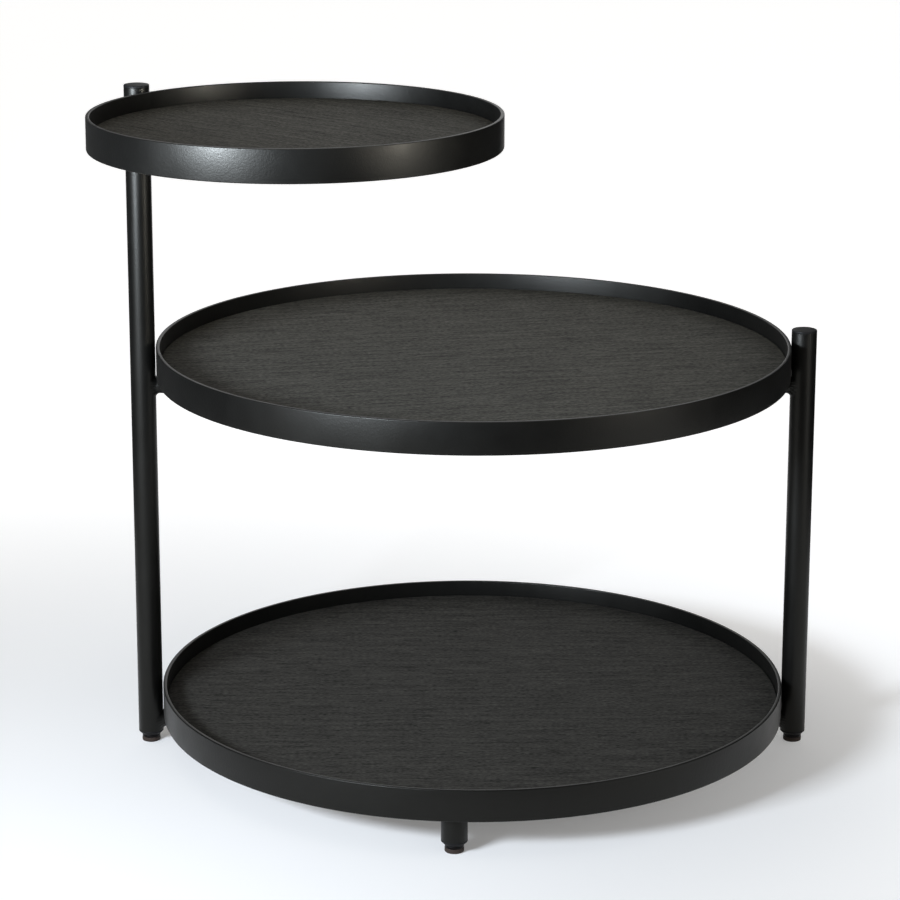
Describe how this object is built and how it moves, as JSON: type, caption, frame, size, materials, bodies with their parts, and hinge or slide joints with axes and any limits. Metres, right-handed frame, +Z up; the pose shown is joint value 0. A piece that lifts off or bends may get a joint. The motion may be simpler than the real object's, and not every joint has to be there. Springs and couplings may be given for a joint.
{
  "type": "tiered side table",
  "caption": "Low side table with round rimmed trays at staggered heights between round-tube posts, on short legs with levelling feet.",
  "frame": {"origin": "on the floor under the middle of the whole table, at the centre of its bounding box seen from above", "axes": "+X from the tall post to the short post, +Y from the front leg to the rear leg, +Z up"},
  "size_m": [0.5604, 0.512, 0.539],
  "materials": {
    "powder_coated_steel": "satin black powder coat",
    "stained_veneer_board": "black-stained open-pore oak veneer, matt lacquer",
    "black_nylon": "moulded, fine matt",
    "blackened_steel": "black zinc plated",
    "foot_plastic": "moulded brown-grey, matt"
  },
  "bodies": {
    "frame": {"bottom_cross_bar": "powder_coated_steel", "bottom_left_saddle": "powder_coated_steel", "bottom_right_saddle": "powder_coated_steel", "bottom_rim_screws": "blackened_steel", "bottom_tray_board": "stained_veneer_board", "bottom_tray_ledge": "powder_coated_steel", "bottom_tray_rim": "powder_coated_steel", "front_leg": "powder_coated_steel", "front_leg_bar": "powder_coated_steel", "front_leg_foot_insert": "black_nylon", "middle_cross_bar": "powder_coated_steel", "middle_left_saddle": "powder_coated_steel", "middle_right_saddle": "powder_coated_steel", "middle_rim_screws": "blackened_steel", "middle_tray_board": "stained_veneer_board", "middle_tray_ledge": "powder_coated_steel", "middle_tray_rim": "powder_coated_steel", "rear_leg": "powder_coated_steel", "rear_leg_bar": "powder_coated_steel", "rear_leg_foot_insert": "black_nylon", "short_post": "powder_coated_steel", "short_post_cap": "black_nylon", "short_post_foot_insert": "black_nylon", "tall_post": "powder_coated_steel", "tall_post_cap": "black_nylon", "tall_post_foot_insert": "black_nylon", "top_inner_saddle": "powder_coated_steel", "top_outer_saddle": "powder_coated_steel", "top_plate_screws": "blackened_steel", "top_rim_screws": "blackened_steel", "top_tray_arm": "powder_coated_steel", "top_tray_board": "stained_veneer_board", "top_tray_ledge": "powder_coated_steel", "top_tray_plate": "powder_coated_steel", "top_tray_rim": "powder_coated_steel"},
    "tall_post_pad": {"tall_post_foot_pad": "foot_plastic"},
    "tall_post_stud": {"tall_post_foot_stud": "blackened_steel"},
    "short_post_pad": {"short_post_foot_pad": "foot_plastic"},
    "short_post_stud": {"short_post_foot_stud": "blackened_steel"},
    "front_leg_pad": {"front_leg_foot_pad": "foot_plastic"},
    "front_leg_stud": {"front_leg_foot_stud": "blackened_steel"},
    "rear_leg_pad": {"rear_leg_foot_pad": "foot_plastic"},
    "rear_leg_stud": {"rear_leg_foot_stud": "blackened_steel"}
  },
  "joints": [
    {"name": "tall_post_foot_travel", "type": "slide", "parent": "frame", "child": "tall_post_pad", "axis": [0, 0, -1], "range_m": [0, 0.008]},
    {"name": "tall_post_foot_turn", "type": "hinge", "parent": "tall_post_pad", "child": "tall_post_stud", "pos_m": [-0.25277, 0.00601, 0.0058], "axis": [0, 0, -1], "range_deg": [0, 2304]},
    {"name": "short_post_foot_travel", "type": "slide", "parent": "frame", "child": "short_post_pad", "axis": [0, 0, -1], "range_m": [0, 0.008]},
    {"name": "short_post_foot_turn", "type": "hinge", "parent": "short_post_pad", "child": "short_post_stud", "pos_m": [0.27023, 0.00601, 0.0058], "axis": [0, 0, -1], "range_deg": [0, 2304]},
    {"name": "front_leg_foot_travel", "type": "slide", "parent": "frame", "child": "front_leg_pad", "axis": [0, 0, -1], "range_m": [0, 0.008]},
    {"name": "front_leg_foot_turn", "type": "hinge", "parent": "front_leg_pad", "child": "front_leg_stud", "pos_m": [-0.00746, -0.22542, 0.0058], "axis": [0, 0, -1], "range_deg": [0, 2304]},
    {"name": "rear_leg_foot_travel", "type": "slide", "parent": "frame", "child": "rear_leg_pad", "axis": [0, 0, -1], "range_m": [0, 0.008]},
    {"name": "rear_leg_foot_turn", "type": "hinge", "parent": "rear_leg_pad", "child": "rear_leg_stud", "pos_m": [0.02491, 0.23745, 0.0058], "axis": [0, 0, -1], "range_deg": [0, 2304]}
  ],
  "couplings": [
    {"joint": "tall_post_foot_travel", "follows": "tall_post_foot_turn", "m_per_rad": 0.00019894},
    {"joint": "short_post_foot_travel", "follows": "short_post_foot_turn", "m_per_rad": 0.00019894},
    {"joint": "front_leg_foot_travel", "follows": "front_leg_foot_turn", "m_per_rad": 0.00019894},
    {"joint": "rear_leg_foot_travel", "follows": "rear_leg_foot_turn", "m_per_rad": 0.00019894}
  ]
}
